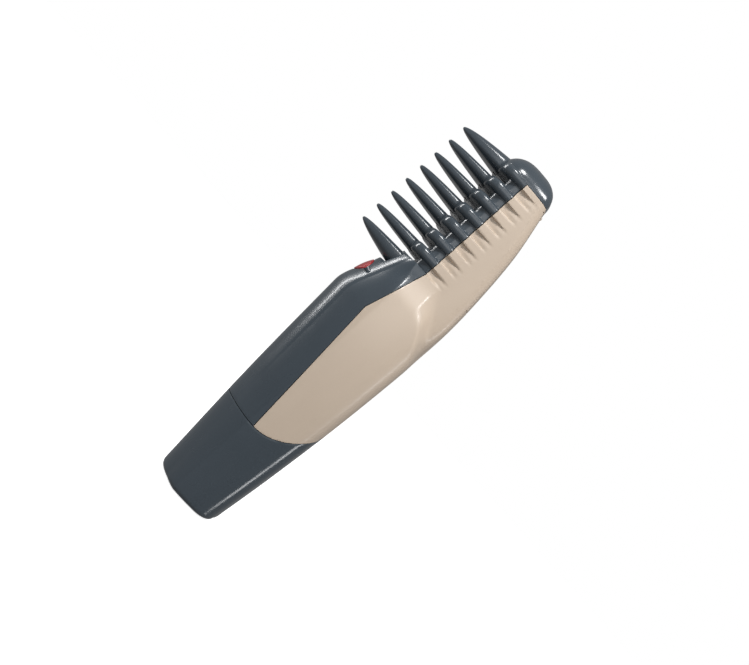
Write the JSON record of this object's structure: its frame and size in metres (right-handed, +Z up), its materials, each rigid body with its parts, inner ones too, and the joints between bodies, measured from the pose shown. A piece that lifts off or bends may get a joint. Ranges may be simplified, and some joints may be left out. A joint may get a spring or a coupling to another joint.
{
  "type": "hair clipper",
  "caption": "Cordless comb trimmer: flat-sided two-shell handle with a sliding battery cap, red power button and a comb head of long pointed teeth over a hidden reciprocating blade.",
  "frame": {"origin": "centre of the flat end face of the battery cap, which the trimmer stands on", "axes": "+Z up along the handle to the nose of the comb head, -Y towards the teeth and the button, X across the width"},
  "size_m": [0.042, 0.0579, 0.1905],
  "materials": {
    "shell_grey": "glossy moulded",
    "comb_grey": "glossy moulded",
    "shell_beige": "semi-gloss moulded",
    "button_red": "glossy moulded",
    "black_plastic": "satin moulded",
    "white_nylon": "natural nylon",
    "steel": "ground and polished",
    "zinc": "zinc plated",
    "board_green": "coated board",
    "cell_jacket": "printed metal jacket",
    "red_wire": "insulated",
    "black_wire": "insulated"
  },
  "bodies": {
    "casing": {"front_shell": "shell_grey", "back_shell": "shell_beige", "comb_head": "comb_grey", "hatch_pin": "steel", "push_switch": "black_plastic", "switch_board": "board_green", "fixed_blade": "steel", "blade_screw_1": "zinc", "blade_screw_2": "zinc", "motor_can": "zinc", "motor_end_cap": "black_plastic", "motor_bracket": "zinc", "motor_screw_1": "zinc", "motor_screw_2": "zinc", "battery_tray": "black_plastic", "battery_left": "cell_jacket", "battery_right": "cell_jacket", "tray_contact": "zinc", "tray_return_contact": "zinc", "shell_screw_1": "zinc", "shell_screw_2": "zinc", "comb_screw_1": "zinc", "comb_screw_2": "zinc", "wire_battery_to_switch": "red_wire", "wire_switch_to_motor": "red_wire", "wire_motor_to_battery": "black_wire"},
    "cap": {"battery_cap": "shell_grey", "cap_contact": "zinc", "cap_spring": "steel"},
    "button": {"power_button": "button_red", "switch_plunger": "black_plastic"},
    "rotor": {"motor_shaft": "steel", "eccentric_cam": "white_nylon"},
    "blade": {"moving_blade": "steel", "blade_carriage": "white_nylon"},
    "hatch": {"head_hatch": "shell_beige"}
  },
  "joints": [
    {"name": "cap_slide", "type": "slide", "parent": "casing", "child": "cap", "axis": [0, 0, -1], "range_m": [0, 0.056]},
    {"name": "button_press", "type": "slide", "parent": "casing", "child": "button", "axis": [0, 0.9465, -0.3228], "range_m": [0, 0.001], "stiffness_N_per_m": 600, "springref_m": -0.0012},
    {"name": "rotor_spin", "type": "hinge", "parent": "casing", "child": "rotor", "pos_m": [0, -0.005, 0.103], "axis": [0, 1, 0], "continuous": true},
    {"name": "blade_slide", "type": "slide", "parent": "casing", "child": "blade", "axis": [0, 0, 1], "range_m": [0, 0.0024]},
    {"name": "hatch_hinge", "type": "hinge", "parent": "casing", "child": "hatch", "pos_m": [0, 0.0116, 0.1774], "axis": [1, 0, 0], "range_deg": [0, 75]}
  ]
}
